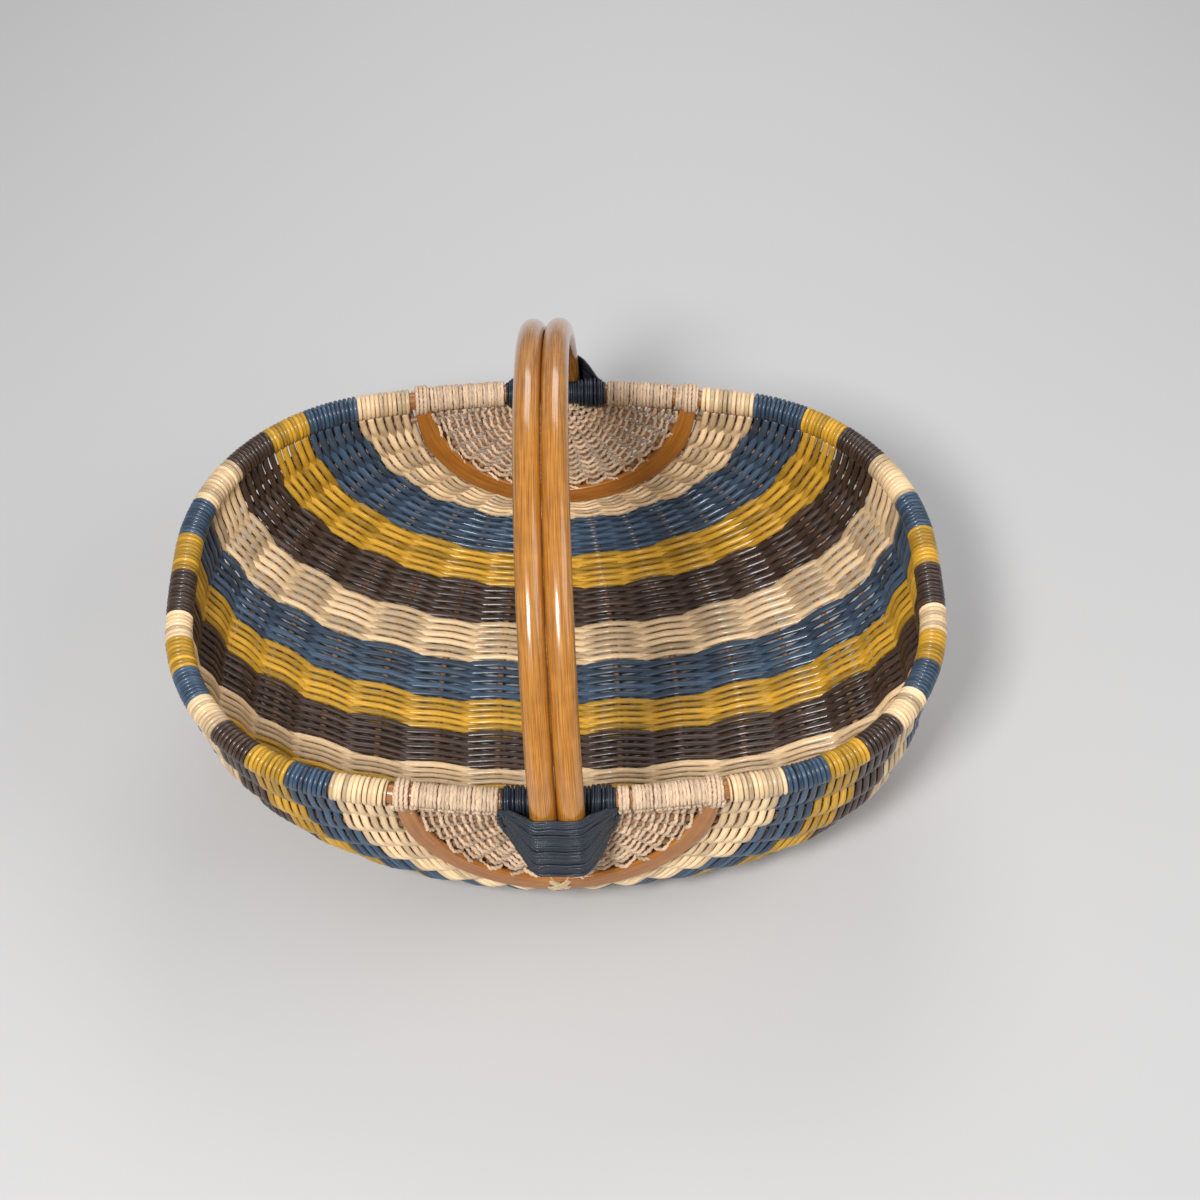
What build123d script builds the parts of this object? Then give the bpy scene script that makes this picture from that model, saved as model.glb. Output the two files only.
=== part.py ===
from build123d import *
import os
from math import asin, atan2, cos, degrees, hypot, pi, sin

# A shallow oval basket woven from rim to rim. One bent pole makes the rim. Ribs fan out from under the
# handle on one side to the same place on the other, and rows of reed run across them, pass over and
# under the ribs and loop round the rim pole at both ends. Back is +Y, front is -Y, and the ground is Z = 0.
# All sizes are in millimetres.

# Rim: one bent pole. Its centre line is an oval of tangent arcs in a level plane.
rim_half_length = 203.0
rim_half_width = 141.6
rim_side_radius = 586.0
rim_shoulder_radius = 113.0
rim_end_radius = 600.0
rim_pole_radius = 5.0
rim_height = 130.0

# Reed and ribs. The rows run in two layers, one on each face of the ribs.
reed = 2.3
rib_radius = 1.9
rib_clearance = 0.3
rib_count = 17
rib_nearest_hub = 26.0
ear_steps = 8  # straight lengths of a rib within an ear
rib_steps = 3  # and across each band
wrap_clearance = 0.1
rim_reach = 9.5
wrap_first, wrap_last, wrap_sides = -50, 230, 6  # the loop round the rim pole, in degrees
band_gap = 0.002  # share of a band's width that its edge rows stand back from the next band

# Ears: half discs under each end of the handle, edged with flat bent strips.
ear_radius = 85.0
ear_strip_width = 11.0
ear_strip_thickness = 3.5
ear_top_gap = 8.0
ear_gap = 1.8
ear_bare_rim = 3.0
back_ear_lean = 10.0
front_ear_lean = 3.5

# Bowl. The bottom line from ear to ear and the cross sections are rounded boxes of these exponents.
bottom_exponent = 4.1
section_fullness = 0.7
section_bias = 0.45  # the right half of a section is fuller than the left half
section_peak = 1.9  # power that moves the fullest section towards the front
section_fade = 1.5  # power with which the fullness fades at the ears
ear_blend = 2.5  # bands over which the curve of an ear's edge dies away
bowl_middle = 40.0  # depth of a point inside the bowl that every outward direction leaves behind
normal_step = 0.02
floor_flat = 1.0

# Handle: two poles side by side, bent to one arc and leaning a little.
handle_pole_radius = 7.0
handle_rise = 126.0
handle_lean = 7.0
handle_tail = 27.0
handle_gap = 0.05

# Lashing of the handle on the rim and the ear.
lashing_half_width = 30.0
lashing_depth = 44.0
lashing_outer_half_width = 18.0
lashing_rise = 12.0  # how far it climbs the outside of the poles above the rim's centre line
lashing_inside = 10.0
lashing_shoulder = 8.0
lashing_foot = 3.0
lashing_bow = (0.72, 0.74)  # a point of the patch's round side, as shares of its half width and depth
lashing_clearance = 0.05

# Twine cross that ties the two ear strips together.
tie_length = 15.0
tie_width = 3.0
tie_thickness = 2.0
tie_angle = 38.0

# The woven bands from the back ear to the front ear: colour, width along the rim, width under the bowl.
bands = [
    ("cream", 31, 13),
    ("blue", 31, 23),
    ("yellow", 26, 21),
    ("brown", 27, 26),
    ("cream", 31, 28),
    ("blue", 25, 28),
    ("yellow", 26, 22),
    ("brown", 28, 24),
    ("cream", 18, 13),
    ("yellow", 21, 17),
    ("blue", 21, 17),
    ("cream", 22, 15),
    ("brown", 24, 14),
    ("yellow", 23, 13),
    ("blue", 23, 12),
    ("cream", 30, 13),
]

layer_inner = rib_radius + rib_clearance
layer_outer = layer_inner + reed
bowl_depth = rim_height - layer_outer + floor_flat
wrap_radius = rim_pole_radius + wrap_clearance
handle_reach = wrap_radius + reed + handle_pole_radius + rim_half_width
handle_bend = (handle_reach**2 + handle_rise**2) / (2 * handle_rise)
band_count = len(bands)


def oval_arcs():
    """The right half of the rim from the back centre to the front centre: centre, radius, start and end angle."""
    end = (rim_half_length - rim_end_radius, 0.0)
    side = (0.0, rim_half_width - rim_side_radius)
    to_end = rim_end_radius - rim_shoulder_radius
    to_side = rim_side_radius - rim_shoulder_radius
    apart = hypot(side[0] - end[0], side[1] - end[1])
    along = (to_end**2 - to_side**2 + apart**2) / (2 * apart)
    off = (to_end**2 - along**2) ** 0.5
    ex, ey = (side[0] - end[0]) / apart, (side[1] - end[1]) / apart
    shoulder = (end[0] + ex * along - ey * off, end[1] + ey * along + ex * off)
    a_end = atan2(shoulder[1] - end[1], shoulder[0] - end[0])
    a_side = atan2(shoulder[1] - side[1], shoulder[0] - side[0])
    low_shoulder = (shoulder[0], -shoulder[1])
    low_side = (0.0, -side[1])
    return [
        (side, rim_side_radius, pi / 2, a_side),
        (shoulder, rim_shoulder_radius, a_side, a_end),
        (end, rim_end_radius, a_end, -a_end),
        (low_shoulder, rim_shoulder_radius, -a_end, -a_side),
        (low_side, rim_side_radius, -a_side, -pi / 2),
    ]


rim_arcs = oval_arcs()
rim_length = sum(radius * (start - stop) for _, radius, start, stop in rim_arcs)


def rim_place(distance):
    """Point on the rim's centre line and its outward direction, by distance from the back centre."""
    for centre, radius, start, stop in rim_arcs:
        length = radius * (start - stop)
        if distance <= length or stop == rim_arcs[-1][3]:
            angle = start - distance / radius
            place = (centre[0] + radius * cos(angle), centre[1] + radius * sin(angle))
            return place, (cos(angle), sin(angle))
        distance -= length


def bottom_line(back_half, front_half, steps=720):
    """The bowl's middle line from back to front as points (y, depth) with the length up to each."""
    line = []
    length = 0.0
    for i in range(steps + 1):
        angle = pi * i / steps
        c, s = cos(angle), max(sin(angle), 0.0)
        k = (abs(c) ** bottom_exponent + s**bottom_exponent) ** (1 / bottom_exponent)
        y = (back_half if c > 0 else front_half) * c / k
        depth = bowl_depth * s / k
        if line:
            length += hypot(y - line[-1][0], depth - line[-1][1])
        line.append((y, depth, length))
    return line


def half_width(lean):
    """Half width of the bottom line, so that it passes through the foot of an ear with this lean."""
    foot = (ear_radius**2 - lean**2) ** 0.5
    share = 1 - (foot / bowl_depth) ** bottom_exponent
    return (rim_half_width - lean) / share ** (1 / bottom_exponent)


bottom = bottom_line(half_width(back_ear_lean), half_width(front_ear_lean))


def bottom_at(length):
    """Point (y, depth) of the bottom line at a distance along it."""
    for (y0, d0, l0), (y1, d1, l1) in zip(bottom, bottom[1:]):
        if length <= l1:
            t = (length - l0) / (l1 - l0)
            return y0 + (y1 - y0) * t, d0 + (d1 - d0) * t
    return bottom[-1][0], bottom[-1][1]


def ear_foot(lean, side):
    """Distance along the bottom line to the foot of the back ear (side 1) or the front ear (side -1)."""
    foot = (ear_radius**2 - lean**2) ** 0.5
    found = [length for y, depth, length in bottom if y * side > 0 and depth <= foot]
    return max(found) if side > 0 else min(found)


def edges_of(widths, first, last):
    """Places of the band edges between first and last, with the widths scaled to fill the space."""
    scale = (last - first) / sum(widths)
    places = [first]
    for width in widths:
        places.append(places[-1] + width * scale)
    return places


ear_edge = rim_side_radius * asin(ear_radius / rim_side_radius)
rim_edges = edges_of([b[1] for b in bands], ear_edge, rim_length - ear_edge)
bottom_edges = edges_of([b[2] for b in bands], ear_foot(back_ear_lean, 1), ear_foot(front_ear_lean, -1))
ear_sag = rim_side_radius - (rim_side_radius**2 - ear_radius**2) ** 0.5


def between(places, u):
    """Smooth value through the band edges: u = 0 at the back ear and band_count at the front ear."""
    i = min(int(u), len(places) - 2)
    t = u - i
    before = places[i] - places[max(i - 1, 0)]
    here = places[i + 1] - places[i]
    after = places[min(i + 2, len(places) - 1)] - places[i + 1]
    m0 = (before + here) / 2 if i > 0 else here
    m1 = (here + after) / 2 if i + 2 < len(places) else here
    return (
        places[i] * (2 * t**3 - 3 * t**2 + 1)
        + m0 * (t**3 - 2 * t**2 + t)
        + places[i + 1] * (3 * t**2 - 2 * t**3)
        + m1 * (t**3 - t**2)
    )


def fullness(u):
    """How far the cross section is from a plain ellipse: nothing at the ears, most towards the front."""
    return max(sin(pi * (u / band_count) ** section_peak), 0.0) ** section_fade


def bowl_point(u, angle):
    """A point of the bowl's middle surface: u counts bands from the back, angle goes from rim to rim."""
    (half, y_rim), _ = rim_place(between(rim_edges, u))
    y_low, depth = bottom_at(between(bottom_edges, u))
    c, s = cos(angle), sin(angle)
    p = 2 + fullness(u) * (section_fullness + section_bias * c)
    k = (abs(c) ** p + abs(s) ** p) ** (1 / p)
    c, s = c / k, s / k
    from_ear = min(u, band_count - u) / ear_blend
    bulge = ear_sag * max(1 - from_ear, 0.0) ** 2 * (1 if u < band_count / 2 else -1)
    y = y_rim - (y_rim + bulge - y_low) * s + bulge * s * s
    return Vector(half * c, y, rim_height - depth * s)


def bowl_normal(u, angle):
    """Outward direction of the bowl's middle surface."""
    a, b = max(u - normal_step, 0.0), min(u + normal_step, band_count)
    across = bowl_point(b, angle) - bowl_point(a, angle)
    along = bowl_point(u, angle + normal_step) - bowl_point(u, angle - normal_step)
    normal = across.cross(along).normalized()
    outward = bowl_point(u, angle) - Vector(0, 0, rim_height - bowl_middle)
    return normal if normal.dot(outward) > 0 else -normal


def ear_point(radius, angle, side):
    """A point of an ear's middle surface: side 1 is the back ear and -1 the front ear."""
    lean = back_ear_lean if side > 0 else front_ear_lean
    tilt = asin(lean / ear_radius)
    x, down = radius * cos(angle), radius * sin(angle)
    sag = (rim_side_radius**2 - x**2) ** 0.5 - rim_side_radius
    y = rim_half_width + sag * cos(tilt) - down * sin(tilt)
    return Vector(x, side * y, rim_height - sag * sin(tilt) - down * cos(tilt))


rib_angles = [pi * (i + 1) / (rib_count + 1) for i in range(rib_count)]
wrap_step = (wrap_last - wrap_first) / wrap_sides
wrap_turns = [wrap_first + wrap_step * i for i in range(wrap_sides + 1)]
wrap_corner = wrap_radius / cos(wrap_step / 2 * pi / 180)


def layer_section(u, angle, side):
    """Inner and outer corner of a reed layer: side 1 is the outside of the bowl and -1 the inside."""
    here, normal = bowl_point(u, angle), bowl_normal(u, angle)
    return here + normal * (side * layer_inner), here + normal * (side * layer_outer)


def wrap_section(u, turn, end):
    """Inner and outer corner of the loop round the rim pole: end 1 is the right half and -1 the left."""
    (x, y), (nx, ny) = rim_place(between(rim_edges, u))
    turn = turn * pi / 180
    centre = Vector(end * x, y, rim_height)
    out = Vector(end * nx * cos(turn), ny * cos(turn), sin(turn))
    return centre + out * wrap_corner, centre + out * (wrap_corner + reed)


def first_angle(u):
    """Angle at which the reed layers leave the loop round the rim."""
    _, depth = bottom_at(between(bottom_edges, u))
    return atan2(rim_reach, depth)


def band_sections(u):
    """The corners of a band's closed belt at u: outside layer, left loop, inside layer, right loop."""
    low = first_angle(u)
    angles = [low] + rib_angles + [pi - low]
    sections = [layer_section(u, a, 1) for a in angles]
    sections += [wrap_section(u, t, -1) for t in wrap_turns]
    sections += [layer_section(u, a, -1) for a in reversed(angles)]
    sections += [wrap_section(u, t, 1) for t in reversed(wrap_turns)]
    return sections


def weave_band(first, last):
    """One colour of reed as a closed belt round the ribs and the two sides of the rim pole."""
    first, last = first + band_gap, last - band_gap
    rows = [band_sections(first), band_sections((first + last) / 2), band_sections(last)]
    count = len(rows[0])
    inner = [Edge.make_spline([row[k][0] for row in rows]) for k in range(count)]
    outer = [Edge.make_spline([row[k][1] for row in rows]) for k in range(count)]
    start = [Edge.make_line(*rows[0][k]) for k in range(count)]
    stop = [Edge.make_line(*rows[2][k]) for k in range(count)]
    faces = []
    for k in range(count):
        for edges in (inner, outer, start, stop):
            faces.append(Face.make_surface_from_curves(edges[k], edges[(k + 1) % count]))
    belt = Solid(Shell(faces))
    below = Pos(0, 0, -rim_height / 2) * Box(3 * rim_half_length, 3 * rim_half_width, rim_height)
    return belt - below if belt.bounding_box().min.Z < 0 else belt


def rib(angle):
    """A round rib from the back ear, under the bowl, to the front ear, in short straight lengths. The right ones
    are lofted from the front, so that the rings of both halves turn the same way round the bend."""
    start = max(rib_nearest_hub, rim_reach / sin(angle))
    radii = [start + (ear_radius - start) * i / ear_steps for i in range(ear_steps + 1)]
    points = [ear_point(r, angle, 1) for r in radii]
    points += [bowl_point(i / rib_steps, angle) for i in range(1, rib_steps * band_count)]
    points += [ear_point(r, angle, -1) for r in reversed(radii)]
    if cos(angle) > 0:
        points.reverse()
    rounds = []
    for i, point in enumerate(points):
        along = points[min(i + 1, len(points) - 1)] - points[max(i - 1, 0)]
        across = along.cross(Vector(1, 0, 0))
        rounds.append(Plane(origin=point, x_dir=across, z_dir=along) * Circle(rib_radius))
    return loft(rounds, ruled=True)


def rim_hoop():
    """The rim pole, bent to an oval and joined end to end."""
    edges = []
    for mirror in (1, -1):
        for centre, radius, start, stop in rim_arcs:
            ends = [
                (mirror * (centre[0] + radius * cos(a)), centre[1] + radius * sin(a), rim_height)
                for a in (start, (start + stop) / 2, stop)
            ]
            edges.append(Edge.make_three_point_arc(*ends))
    path = Wire(edges)
    profile = Plane(origin=(0, rim_half_width, rim_height), z_dir=(1, 0, 0)) * Circle(rim_pole_radius)
    return sweep(profile, path=path)


def handle_pole(side):
    """One of the two handle poles: side 1 is the right one."""
    centre = rim_height + handle_rise - handle_bend
    low = asin((rim_height - handle_tail - centre) / handle_bend)
    x = side * (handle_pole_radius + handle_gap)
    points = [(x, handle_bend * cos(a), centre + handle_bend * sin(a)) for a in (low, pi / 2, pi - low)]
    path = Edge.make_three_point_arc(*points)
    pole = sweep(Plane(origin=path @ 0, z_dir=path % 0) * Circle(handle_pole_radius), path=path)
    return pole.rotate(Axis((0, 0, rim_height), (0, 1, 0)), -degrees(asin(handle_lean / handle_rise)))


def ear_layer(near, far, side):
    """The whole wall of an ear between two distances from its middle surface, as a leaning block."""
    lean = back_ear_lean if side > 0 else front_ear_lean
    tall = 3 * ear_radius
    wall = Cylinder(rim_side_radius + far, tall) - Cylinder(rim_side_radius + near, tall)
    slab = Pos(0, rim_half_width, 0) * Box(3 * ear_radius, rim_half_width, tall)
    wall = (Pos(0, rim_half_width - rim_side_radius, 0) * wall) & slab
    wall = Pos(0, 0, rim_height) * wall
    return lean_ear(wall, lean)


def lean_ear(piece, lean):
    """Tips a piece built upright at the back so that the foot of the ear leans inwards."""
    axis = Axis((0, rim_half_width, rim_height), (1, 0, 0))
    return piece.rotate(axis, -degrees(asin(lean / ear_radius)))


def ear_prism(outer, inner, side):
    """A half disc or half ring below the rim, through the whole wall of the ear."""
    lean = back_ear_lean if side > 0 else front_ear_lean
    disc = Cylinder(outer, rim_half_width)
    if inner:
        disc -= Cylinder(inner, 2 * rim_half_width)
    lower = Box(3 * outer, 2 * outer, 2 * rim_half_width)
    disc = Rot(90, 0, 0) * (disc & Pos(0, -outer - ear_top_gap, 0) * lower)
    return lean_ear(Pos(0, rim_half_width, rim_height) * disc, lean)


def facing(piece, side):
    """Leaves a piece at the back, or mirrors it to the front."""
    return piece if side > 0 else piece.mirror(Plane.XZ)


def ear_strip(near, far, side):
    """A flat half ring on one face of the ribs."""
    outer, inner = ear_radius - ear_gap, ear_radius - ear_strip_width
    return facing(ear_layer(near, far, side) & ear_prism(outer, inner, side), side)


def rim_sleeve(from_x, to_x, inner, outer):
    """A tube round the rim pole at the back, between two places along X."""
    start, stop = (degrees(asin(x / rim_side_radius)) for x in (from_x, to_x))
    ring = Circle(outer) - Circle(inner) if inner else Circle(outer)
    profile = Plane(origin=(0, rim_half_width, rim_height), z_dir=(1, 0, 0)) * ring
    axis = Axis((0, rim_half_width - rim_side_radius, rim_height), (0, 0, 1))
    tube = revolve(profile, axis, revolution_arc=stop - start)
    return tube.rotate(axis, -stop)


def ear_weave(side):
    """The seagrass weave of an ear: a layer on each face of the ribs, joined by its loops round the rim."""
    disc = ear_prism(ear_radius - ear_strip_width - ear_gap, 0, side)
    tall_disc = Pos(0, 0, ear_top_gap - wrap_radius + 1) * disc
    layers = [ear_layer(layer_inner, layer_outer, side), ear_layer(-layer_outer, -layer_inner, side)]
    weave = (layers[0] & (disc + tall_disc)) + (layers[1] & (disc + tall_disc))
    inside = lashing_half_width + ear_gap
    outside = ear_radius - ear_bare_rim
    weave += rim_sleeve(inside, outside, wrap_radius, wrap_radius + reed)
    weave += rim_sleeve(-outside, -inside, wrap_radius, wrap_radius + reed)
    weave -= rim_sleeve(-ear_radius, ear_radius, 0, wrap_radius)
    weave -= rim_sleeve(-inside, inside, 0, wrap_radius + reed)
    return weave


def ear_tie(side):
    """Two crosses of twine, one on the outer strip and one on the inner strip."""
    lean = back_ear_lean if side > 0 else front_ear_lean
    middle = ear_radius - (ear_strip_width + ear_gap) / 2
    near = layer_inner + ear_strip_thickness + wrap_clearance
    bar = Box(tie_width, tie_thickness, tie_length)
    cross = Rot(0, tie_angle, 0) * bar + Rot(0, -tie_angle, 0) * bar
    place = near + tie_thickness / 2
    pair = [Pos(0, rim_half_width + s * place, rim_height - middle) * cross for s in (1, -1)]
    return [facing(lean_ear(c, lean), side) for c in pair]


def handle_lashing(side, poles):
    """Navy twine wound round the rim and over the ends of both handle poles."""
    wide, narrow = lashing_half_width, lashing_outer_half_width
    far = handle_bend - rim_half_width + handle_pole_radius + reed
    top, tail = -wrap_radius, handle_tail + reed
    corners = [(wide, -lashing_inside), (wide, lashing_shoulder), (narrow, far)]
    plan = Polyline(*corners, *[(-x, y) for x, y in reversed(corners)], close=True)
    plan = extrude(make_face(plan), 2 * lashing_depth, both=True)
    bow_x, bow_z = lashing_bow[0] * wide, -lashing_bow[1] * lashing_depth
    bow = ThreePointArc((wide, top), (bow_x, bow_z), (0, -lashing_depth))
    bow_left = ThreePointArc((0, -lashing_depth), (-bow_x, bow_z), (-wide, top))
    crown = Polyline((-wide, top), (-narrow, lashing_rise), (narrow, lashing_rise), (wide, top))
    face = make_face([bow.edge(), bow_left.edge(), *crown.edges()])
    face = Rot(90, 0, 0) * extrude(face, 4 * far, both=True)
    outer_side = [(wrap_radius, 0), (far, lashing_rise), (far, -tail), (lashing_foot, -lashing_depth)]
    profile = Polyline((-lashing_inside, top), *outer_side, (-lashing_inside, -lashing_depth), close=True)
    profile = Rot(0, 0, 90) * Rot(90, 0, 0) * extrude(make_face(profile), 2 * wide, both=True)
    cover = Pos(0, rim_half_width, rim_height) * (plan & face & profile)
    lean = back_ear_lean if side > 0 else front_ear_lean
    tall = 3 * ear_radius
    wall = Cylinder(rim_side_radius + layer_outer + lashing_clearance, tall)
    cover -= lean_ear(Pos(0, rim_half_width - rim_side_radius, rim_height) * wall, lean)
    lashing = cover + rim_sleeve(-wide, wide, wrap_radius, wrap_radius + reed)
    lashing -= rim_sleeve(-ear_radius, ear_radius, 0, wrap_radius)
    lashing = facing(lashing, side)
    for pole in poles:
        lashing -= pole
    return lashing


def write(name, piece):
    solids = piece if isinstance(piece, list) else piece.solids()
    export_step(Compound(children=[*solids]) if len(solids) > 1 else solids[0], f"parts/{name}.step")


os.makedirs("parts", exist_ok=True)

write("rim_hoop", rim_hoop())
poles = [handle_pole(-1), handle_pole(1)]
write("handle_pole_left", poles[0])
write("handle_pole_right", poles[1])

for side, place in ((1, "back"), (-1, "front")):
    near, far = layer_inner, layer_inner + ear_strip_thickness
    write(f"{place}_ear_strip_outer", ear_strip(near, far, side))
    write(f"{place}_ear_strip_inner", ear_strip(-far, -near, side))
    write(f"{place}_ear_tie", ear_tie(side))
    write(f"{place}_ear_weave", facing(ear_weave(side), side))
    write(f"{place}_handle_lashing", handle_lashing(side, poles))

for number, angle in enumerate(rib_angles, 1):
    write(f"rib_{number:02d}", rib(angle))

for number, (colour, _, _) in enumerate(bands, 1):
    write(f"weave_{number:02d}_{colour}", weave_band(number - 1, number))
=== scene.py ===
from math import asin, atan2, cos, hypot, pi, radians, sin

import bpy
import numpy as np
from mathutils import Matrix, Vector


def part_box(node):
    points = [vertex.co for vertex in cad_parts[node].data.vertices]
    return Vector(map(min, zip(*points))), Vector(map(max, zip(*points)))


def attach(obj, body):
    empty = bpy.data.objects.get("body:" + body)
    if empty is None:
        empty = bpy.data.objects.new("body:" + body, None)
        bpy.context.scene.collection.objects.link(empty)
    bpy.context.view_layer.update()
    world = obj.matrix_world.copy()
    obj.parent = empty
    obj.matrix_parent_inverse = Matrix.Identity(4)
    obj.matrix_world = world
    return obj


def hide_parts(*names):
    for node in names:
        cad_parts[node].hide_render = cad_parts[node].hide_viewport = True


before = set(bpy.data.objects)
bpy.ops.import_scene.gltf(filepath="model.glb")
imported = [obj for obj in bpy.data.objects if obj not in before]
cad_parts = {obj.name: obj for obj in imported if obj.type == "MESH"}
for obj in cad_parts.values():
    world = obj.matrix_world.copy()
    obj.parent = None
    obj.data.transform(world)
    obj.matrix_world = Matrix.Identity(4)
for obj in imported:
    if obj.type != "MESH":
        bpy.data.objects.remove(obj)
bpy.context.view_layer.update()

mm = 0.001

# ---- Rim pole ----
# One rattan pole, steamed and bent to a level oval and joined end to end. Everything else hangs on it.
# It shows only in the gaps between the loops, as a smooth orange-brown skin.
rim_low, rim_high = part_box("rim_hoop")
rim_pole_radius = (rim_high.z - rim_low.z) / 2
rim_height = (rim_high.z + rim_low.z) / 2
rim_half_length = rim_high.x - rim_pole_radius
rim_half_width = rim_high.y - rim_pole_radius
rim_side_radius = 586 * mm
rim_shoulder_radius = 113 * mm
rim_end_radius = 600 * mm
rim_sides = 20
rim_step = 4 * mm
rim_colours = ((0.30, 0.105, 0.025), (0.50, 0.21, 0.06))
# shared by every fibre material: blotch size in grains, noise levels of the two tones, roughness and relief
blotch_size = 22
streak_dark, streak_light = 0.30, 0.70
gloss_range = (0.1, 0.14)
relief_strength = 0.6
coat_rough = 0.12
skin_specular = 0.45


def oval_arcs():
    """The rim's right half from back to front, arc by arc: centre, radius, start angle and end angle."""
    end = (rim_half_length - rim_end_radius, 0.0)
    side = (0.0, rim_half_width - rim_side_radius)
    to_end = rim_end_radius - rim_shoulder_radius
    to_side = rim_side_radius - rim_shoulder_radius
    apart = hypot(side[0] - end[0], side[1] - end[1])
    along = (to_end**2 - to_side**2 + apart**2) / (2 * apart)
    off = (to_end**2 - along**2) ** 0.5
    ex, ey = (side[0] - end[0]) / apart, (side[1] - end[1]) / apart
    shoulder = (end[0] + ex * along - ey * off, end[1] + ey * along + ex * off)
    a_end = atan2(shoulder[1] - end[1], shoulder[0] - end[0])
    a_side = atan2(shoulder[1] - side[1], shoulder[0] - side[0])
    return [
        (side, rim_side_radius, pi / 2, a_side),
        (shoulder, rim_shoulder_radius, a_side, a_end),
        (end, rim_end_radius, a_end, -a_end),
        ((shoulder[0], -shoulder[1]), rim_shoulder_radius, -a_end, -a_side),
        ((0.0, -side[1]), rim_side_radius, -a_side, -pi / 2),
    ]


rim_arcs = oval_arcs()
rim_length = sum(radius * (start - stop) for _, radius, start, stop in rim_arcs)


def rim_place(distance):
    """Point on the right half of the rim's centre line, by distance from the back, and its way outwards."""
    for centre, radius, start, stop in rim_arcs:
        length = radius * (start - stop)
        if distance <= length or stop == rim_arcs[-1][3]:
            angle = start - distance / radius
            nx, ny = cos(angle), sin(angle)
            return (centre[0] + radius * nx, centre[1] + radius * ny), (nx, ny)
        distance -= length


def edit_new(name):
    """Names the primitive just added and opens it in edit mode."""
    piece = bpy.context.object
    piece.name = piece.data.name = name
    bpy.ops.object.mode_set(mode="EDIT")
    bpy.ops.mesh.select_all(action="SELECT")
    return piece


def place_in_mesh(piece):
    """Leaves the object at the origin with its place in its mesh."""
    bpy.ops.object.mode_set(mode="OBJECT")
    piece.data.transform(piece.matrix_world)
    piece.matrix_world = Matrix.Identity(4)
    piece.select_set(False)


def set_lay(piece, lay, shade=None):
    """Stores each vertex's place on the straightened piece, and a tone from 0 to 1 for its own length."""
    field = piece.data.attributes.new("lay", "FLOAT_VECTOR", "POINT")
    field.data.foreach_set("vector", np.asarray(lay, dtype=np.float32).ravel())
    shade = np.full(len(lay), 0.5) if shade is None else shade
    tone = piece.data.attributes.new("shade", "FLOAT", "POINT")
    tone.data.foreach_set("value", np.asarray(shade, dtype=np.float32))
    piece.data.shade_smooth()


def finish_piece(piece, material, nodes):
    """Gives a piece its material, its body and the nodes that it stands for."""
    piece.data.materials.clear()
    piece.data.materials.append(material)
    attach(piece, "root")
    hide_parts(*nodes)


def fibre_material(name, dark, light, grain, streak, rough, coat, bump, spread=0.35, blotch=0.35):
    """Skin whose fibres run along the piece, in two tones, with blotches and a tone for each length.
    grain is a streak's size across the fibres, and streak is how many times longer it is along them.
    spread is how much the lengths differ in tone, and blotch how much one length varies."""
    material = bpy.data.materials.new(name)
    material.use_nodes = True
    nodes, links = material.node_tree.nodes, material.node_tree.links
    shader = nodes["Principled BSDF"]
    lay = nodes.new("ShaderNodeAttribute")
    lay.attribute_name = "lay"
    shade = nodes.new("ShaderNodeAttribute")
    shade.attribute_name = "shade"
    stretch = nodes.new("ShaderNodeMapping")
    stretch.inputs["Scale"].default_value = (1 / (grain * streak), 1 / grain, 1 / grain)
    links.new(lay.outputs["Vector"], stretch.inputs["Vector"])
    fibre = nodes.new("ShaderNodeTexNoise")
    fibre.inputs["Scale"].default_value = 1.0
    fibre.inputs["Detail"].default_value = 3.0
    links.new(stretch.outputs["Vector"], fibre.inputs["Vector"])
    cloud = nodes.new("ShaderNodeTexNoise")
    cloud.inputs["Scale"].default_value = 1 / (grain * blotch_size)
    links.new(lay.outputs["Vector"], cloud.inputs["Vector"])
    contrast = nodes.new("ShaderNodeMapRange")
    contrast.inputs["From Min"].default_value = streak_dark
    contrast.inputs["From Max"].default_value = streak_light
    links.new(fibre.outputs["Fac"], contrast.inputs["Value"])
    tone = nodes.new("ShaderNodeMix")
    tone.data_type = "RGBA"
    tone.inputs["A"].default_value = (*dark, 1)
    tone.inputs["B"].default_value = (*light, 1)
    links.new(contrast.outputs["Result"], tone.inputs["Factor"])
    # the tone of each length and its blotches, as a brightness round 1
    whole = nodes.new("ShaderNodeMath")
    whole.operation = "MULTIPLY_ADD"
    whole.inputs[1].default_value = 2 * spread
    whole.inputs[2].default_value = 1 - spread - blotch / 2
    links.new(shade.outputs["Fac"], whole.inputs[0])
    patch = nodes.new("ShaderNodeMath")
    patch.operation = "MULTIPLY_ADD"
    patch.inputs[1].default_value = blotch
    links.new(cloud.outputs["Fac"], patch.inputs[0])
    links.new(whole.outputs[0], patch.inputs[2])
    colour = nodes.new("ShaderNodeVectorMath")
    colour.operation = "SCALE"
    links.new(tone.outputs["Result"], colour.inputs[0])
    links.new(patch.outputs[0], colour.inputs["Scale"])
    links.new(colour.outputs["Vector"], shader.inputs["Base Color"])
    gloss = nodes.new("ShaderNodeMapRange")
    gloss.inputs["To Min"].default_value = rough - gloss_range[0]
    gloss.inputs["To Max"].default_value = rough + gloss_range[1]
    links.new(fibre.outputs["Fac"], gloss.inputs["Value"])
    links.new(gloss.outputs["Result"], shader.inputs["Roughness"])
    relief = nodes.new("ShaderNodeBump")
    relief.inputs["Strength"].default_value = relief_strength
    relief.inputs["Distance"].default_value = bump
    links.new(fibre.outputs["Fac"], relief.inputs["Height"])
    links.new(relief.outputs["Normal"], shader.inputs["Normal"])
    shader.inputs["Coat Weight"].default_value = coat
    shader.inputs["Coat Roughness"].default_value = coat_rough
    shader.inputs["Specular IOR Level"].default_value = skin_specular
    return material


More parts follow.
